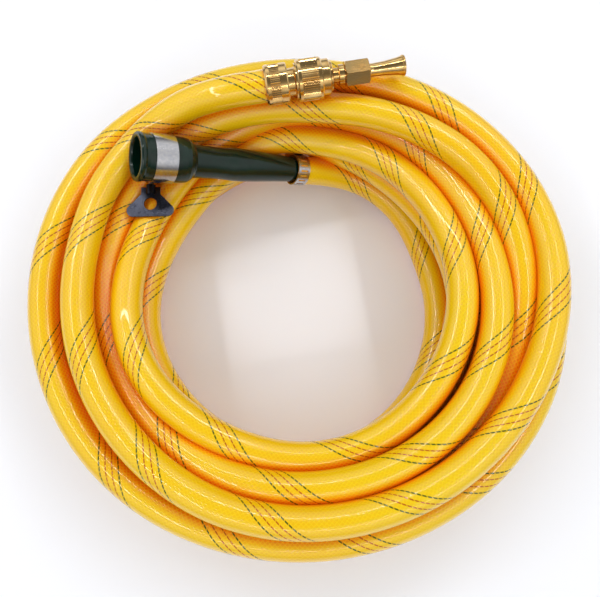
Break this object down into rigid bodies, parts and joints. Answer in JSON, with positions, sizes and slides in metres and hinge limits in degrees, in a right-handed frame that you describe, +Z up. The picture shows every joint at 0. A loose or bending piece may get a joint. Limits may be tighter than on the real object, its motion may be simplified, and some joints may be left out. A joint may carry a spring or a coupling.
{
  "type": "coiled garden hose",
  "caption": "Coiled yellow garden hose with a brass quick coupler and twist nozzle on one end and a rubber tap connector with strap and wing screw on the other.",
  "frame": {"origin": "centre of the coil's outline, on the surface it lies on", "axes": "+Z up out of the coil's hole, +X along the nozzle from the hose to the tip, +Y across the coil towards the coupler"},
  "size_m": [0.36, 0.36, 0.1233],
  "materials": {
    "hose": "glossy translucent yellow PVC over a fine braid, with four thin helical lines",
    "brass": "turned brass, slightly brown, knurled grips",
    "grip_plastic": "moulded nylon",
    "spring_steel": "spring wire",
    "ball_steel": "polished bearing steel",
    "seal_rubber": "nitrile",
    "connector_rubber": "glossy moulded bottle-green rubber",
    "strap_steel": "bright rolled steel strip",
    "screw_steel": "zinc-plated steel"
  },
  "bodies": {
    "hose_set": {"hose_coil": "hose", "hose_lead_nozzle": "hose", "hose_lead_tap": "hose", "coupler_body": "brass", "collar_spring": "spring_steel", "collar_stop_ring": "brass", "tap_connector_body": "connector_rubber", "tap_strap": "strap_steel", "strap_nut": "screw_steel", "clip_band": "strap_steel", "clip_housing": "strap_steel"},
    "grip": {"grip_ring": "grip_plastic"},
    "nut": {"clamp_nut": "brass"},
    "collar": {"lock_collar": "brass"},
    "ball_1": {"lock_ball_1": "ball_steel"},
    "ball_2": {"lock_ball_2": "ball_steel"},
    "ball_3": {"lock_ball_3": "ball_steel"},
    "plug": {"nozzle_plug": "brass", "plug_seal": "seal_rubber"},
    "seal_carrier": {"sleeve_seal": "seal_rubber"},
    "sleeve": {"nozzle_sleeve": "brass"},
    "washer": {"strap_washer": "screw_steel"},
    "wing": {"strap_screw": "screw_steel", "wing_plate": "strap_steel"},
    "worm": {"clip_screw": "screw_steel"}
  },
  "joints": [
    {"name": "nut_travel", "type": "slide", "parent": "hose_set", "child": "grip", "axis": [1, 0, 0], "range_m": [-0.0045, 0]},
    {"name": "nut_turn", "type": "hinge", "parent": "grip", "child": "nut", "pos_m": [0.005, 0.132, 0.11], "axis": [1, 0, 0], "range_deg": [-1080, 0]},
    {"name": "collar_slide", "type": "slide", "parent": "hose_set", "child": "collar", "axis": [-1, 0, 0], "range_m": [0, 0.0045], "stiffness_N_per_m": 800, "springref_m": -0.004, "deforming": ["collar_spring"]},
    {"name": "ball_1_lift", "type": "slide", "parent": "hose_set", "child": "ball_1", "axis": [0, 0, 1], "range_m": [0, 0.0011]},
    {"name": "ball_2_lift", "type": "slide", "parent": "hose_set", "child": "ball_2", "axis": [0, -0.866, -0.5], "range_m": [0, 0.0011]},
    {"name": "ball_3_lift", "type": "slide", "parent": "hose_set", "child": "ball_3", "axis": [0, 0.866, -0.5], "range_m": [0, 0.0011]},
    {"name": "nozzle_swivel", "type": "hinge", "parent": "hose_set", "child": "plug", "pos_m": [0.033, 0.132, 0.11], "axis": [1, 0, 0], "continuous": true},
    {"name": "sleeve_travel", "type": "slide", "parent": "plug", "child": "seal_carrier", "axis": [1, 0, 0], "range_m": [0, 0.00375]},
    {"name": "sleeve_turn", "type": "hinge", "parent": "seal_carrier", "child": "sleeve", "pos_m": [0.058, 0.132, 0.11], "axis": [1, 0, 0], "range_deg": [0, 1080]},
    {"name": "wing_travel", "type": "slide", "parent": "hose_set", "child": "washer", "axis": [0.1392, 0.9903, 0], "range_m": [-0.0021, 0]},
    {"name": "wing_turn", "type": "hinge", "parent": "washer", "child": "wing", "pos_m": [-0.08837, 0.0991, 0.07799], "axis": [0.1392, 0.9903, 0], "range_deg": [-1080, 0]},
    {"name": "clip_screw_turn", "type": "hinge", "parent": "hose_set", "child": "worm", "pos_m": [0.0136, 0.114, 0.045], "axis": [0.4924, 0, 0.8704], "continuous": true}
  ],
  "couplings": [
    {"joint": "nut_turn", "follows": "nut_travel", "rad_per_m": 4188.4},
    {"joint": "ball_1_lift", "follows": "collar_slide", "ratio": 0.24444},
    {"joint": "ball_2_lift", "follows": "collar_slide", "ratio": 0.24444},
    {"joint": "ball_3_lift", "follows": "collar_slide", "ratio": 0.24444},
    {"joint": "sleeve_turn", "follows": "sleeve_travel", "rad_per_m": 5026.1},
    {"joint": "wing_turn", "follows": "wing_travel", "rad_per_m": 8975.1}
  ]
}
